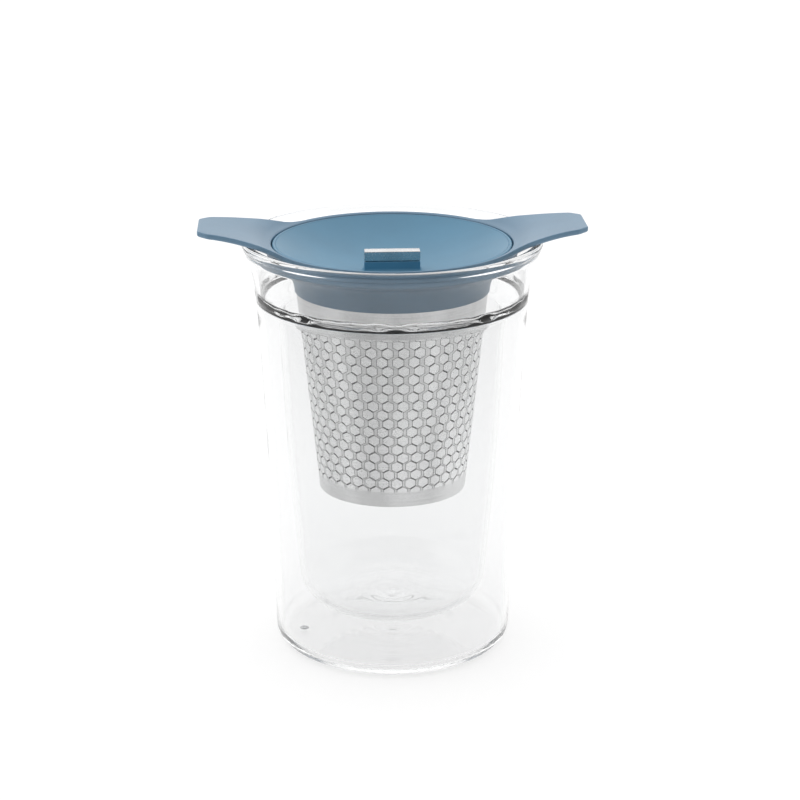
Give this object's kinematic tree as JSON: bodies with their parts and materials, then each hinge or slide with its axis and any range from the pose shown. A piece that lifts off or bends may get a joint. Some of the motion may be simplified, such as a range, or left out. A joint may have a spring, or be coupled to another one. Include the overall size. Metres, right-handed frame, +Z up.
{
  "type": "lidded tea mug with infuser",
  "caption": "Double-walled tea glass with a drop-in steel infuser basket hung from a winged collar, and a dished lid that sits in the collar and keeps the tea warm.",
  "frame": {"origin": "axis of the glass, in the plane that its foot stands on", "axes": "+Z up along the glass's axis, X along the two wings of the infuser, -Y the side the picture shows"},
  "size_m": [0.1172, 0.0914, 0.1343],
  "materials": {
    "glass": "clear, fire-polished",
    "collar_plastic": "fine matte, grey blue",
    "lid_plastic": "fine matte, blue",
    "steel": "brushed"
  },
  "bodies": {
    "glass": {"inner_glass": "glass", "outer_glass": "glass", "vent_seal": "glass"},
    "infuser": {"infuser_collar": "collar_plastic", "basket_wall": "steel", "basket_floor": "steel"},
    "lid": {"lid_dish": "lid_plastic", "grip_cap": "steel"}
  },
  "joints": [
    {"name": "infuser_lift", "type": "slide", "parent": "glass", "child": "infuser", "axis": [0, 0, 1], "range_m": [0, 0.085]},
    {"name": "lid_lift", "type": "slide", "parent": "infuser", "child": "lid", "axis": [0, 0, 1], "range_m": [0, 0.03]}
  ]
}
